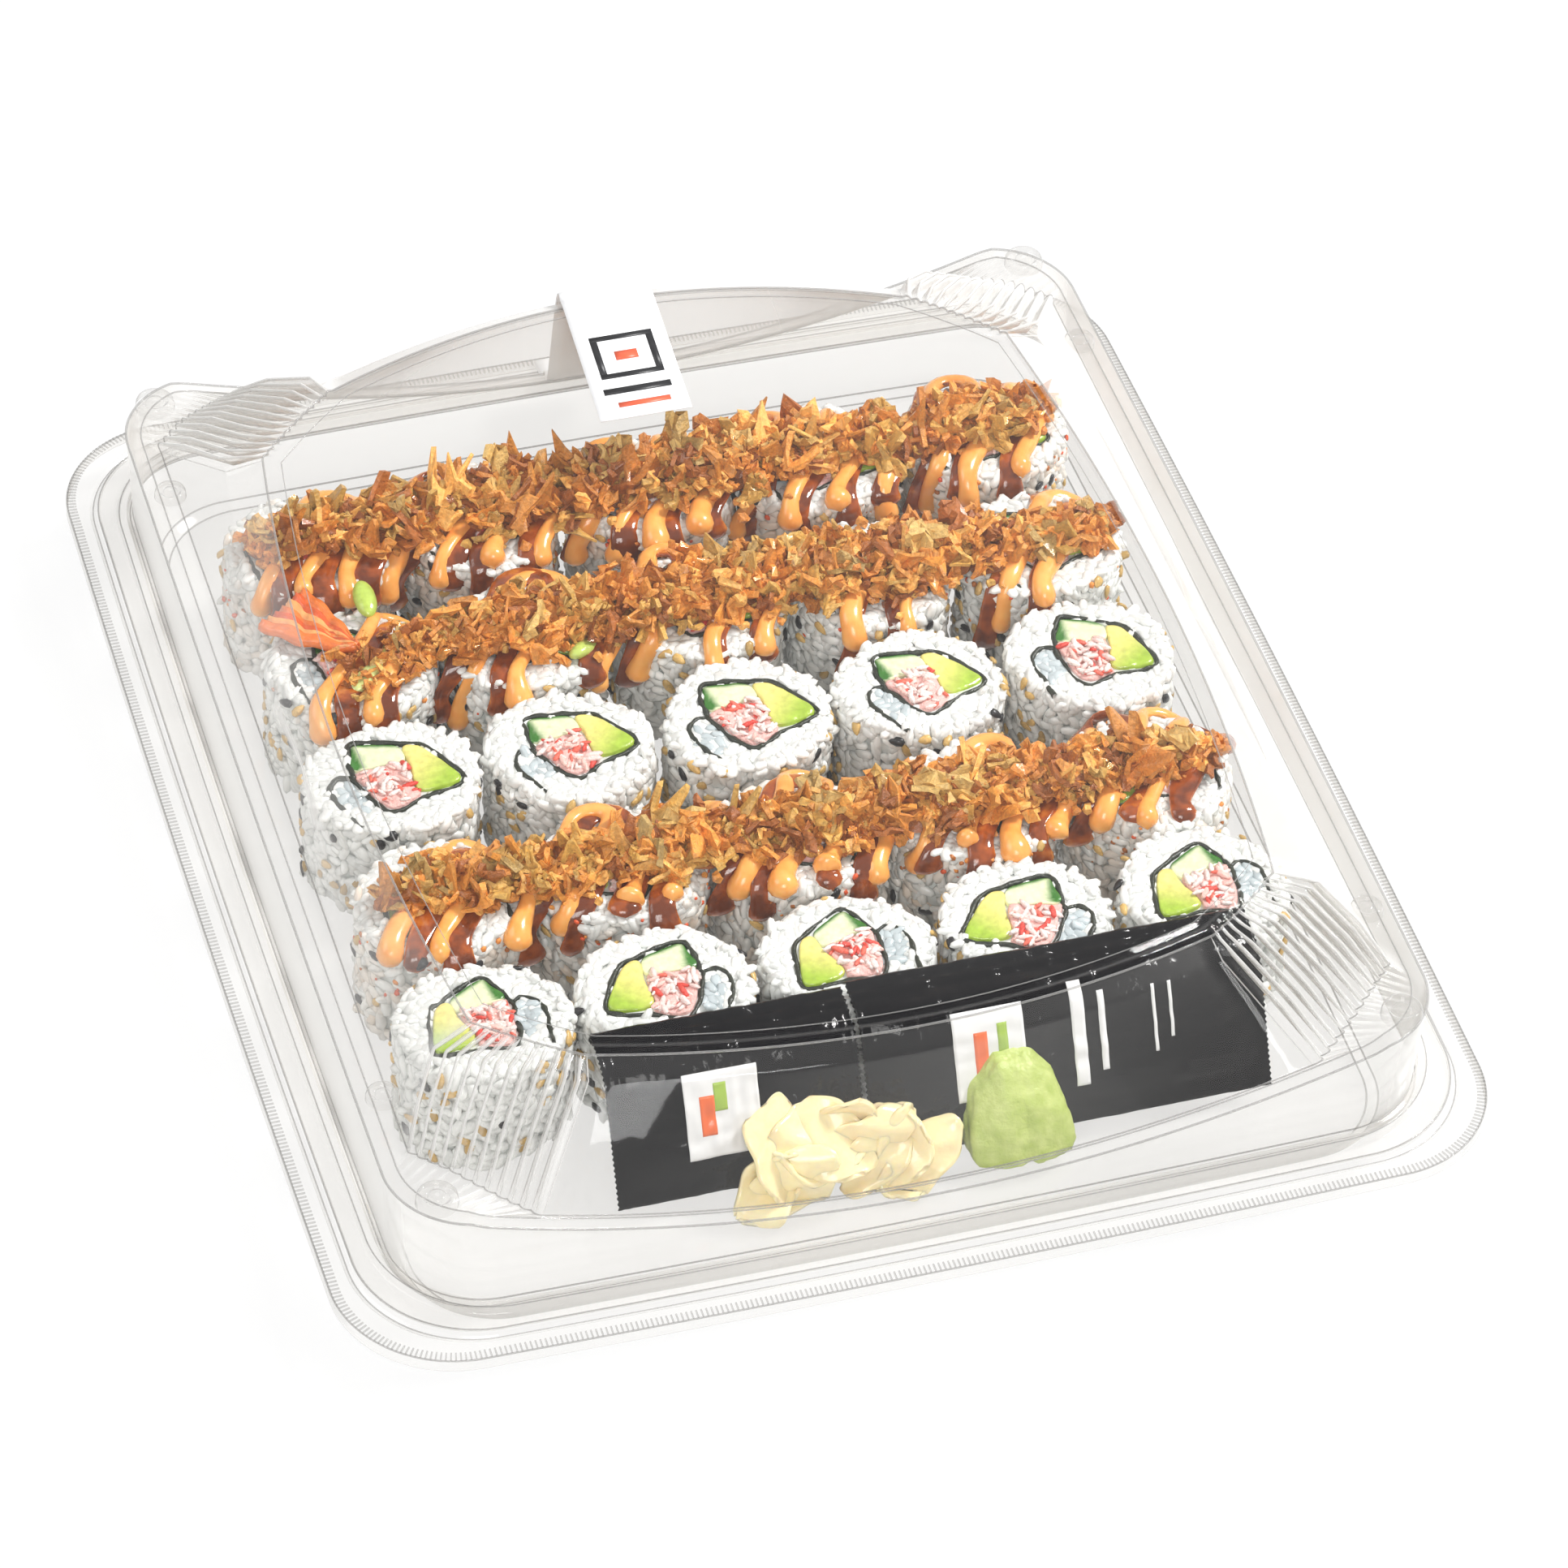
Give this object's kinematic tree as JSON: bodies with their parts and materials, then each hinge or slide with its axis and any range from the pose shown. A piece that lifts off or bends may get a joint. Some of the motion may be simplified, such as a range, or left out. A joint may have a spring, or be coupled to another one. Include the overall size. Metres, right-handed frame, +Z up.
{
  "type": "takeaway sushi tray",
  "caption": "Shut clear two-piece takeaway pack of cut sushi rolls in rows, with soy sauce sachets, pickled ginger and wasabi at the front.",
  "frame": {"origin": "centre of the base tray's footprint, on the surface that it stands on", "axes": "+X to the right along a row of pieces, +Y to the back edge with the label, +Z up"},
  "size_m": [0.252, 0.298, 0.0552],
  "materials": {
    "clear_base": "clear thin plastic",
    "clear_lid": "clear thin plastic",
    "label_paper": "coated paper",
    "sachet_film": "glossy black film",
    "rice": "moist",
    "fried_onion": "crisp, slightly oily",
    "ginger": "wet, translucent",
    "wasabi": "moist paste",
    "shrimp_tail": "shiny shell"
  },
  "bodies": {
    "root": {"base_tray": "clear_base", "lid": "clear_lid", "seal_label": "label_paper", "sachet_left": "sachet_film", "sachet_right": "sachet_film", "onion_heap_1": "fried_onion", "onion_heap_2": "fried_onion", "onion_heap_4": "fried_onion", "pickled_ginger": "ginger", "wasabi": "wasabi", "shrimp_tail": "shrimp_tail", "roll_1_1": "rice", "roll_1_2": "rice", "roll_1_3": "rice", "roll_1_4": "rice", "roll_1_5": "rice", "roll_2_1": "rice", "roll_2_2": "rice", "roll_2_3": "rice", "roll_2_4": "rice", "roll_2_5": "rice", "roll_3_1": "rice", "roll_3_2": "rice", "roll_3_3": "rice", "roll_3_4": "rice", "roll_3_5": "rice", "roll_4_1": "rice", "roll_4_2": "rice", "roll_4_3": "rice", "roll_4_4": "rice", "roll_4_5": "rice", "roll_5_1": "rice", "roll_5_2": "rice", "roll_5_3": "rice", "roll_5_4": "rice", "roll_5_5": "rice"}
  },
  "joints": []
}
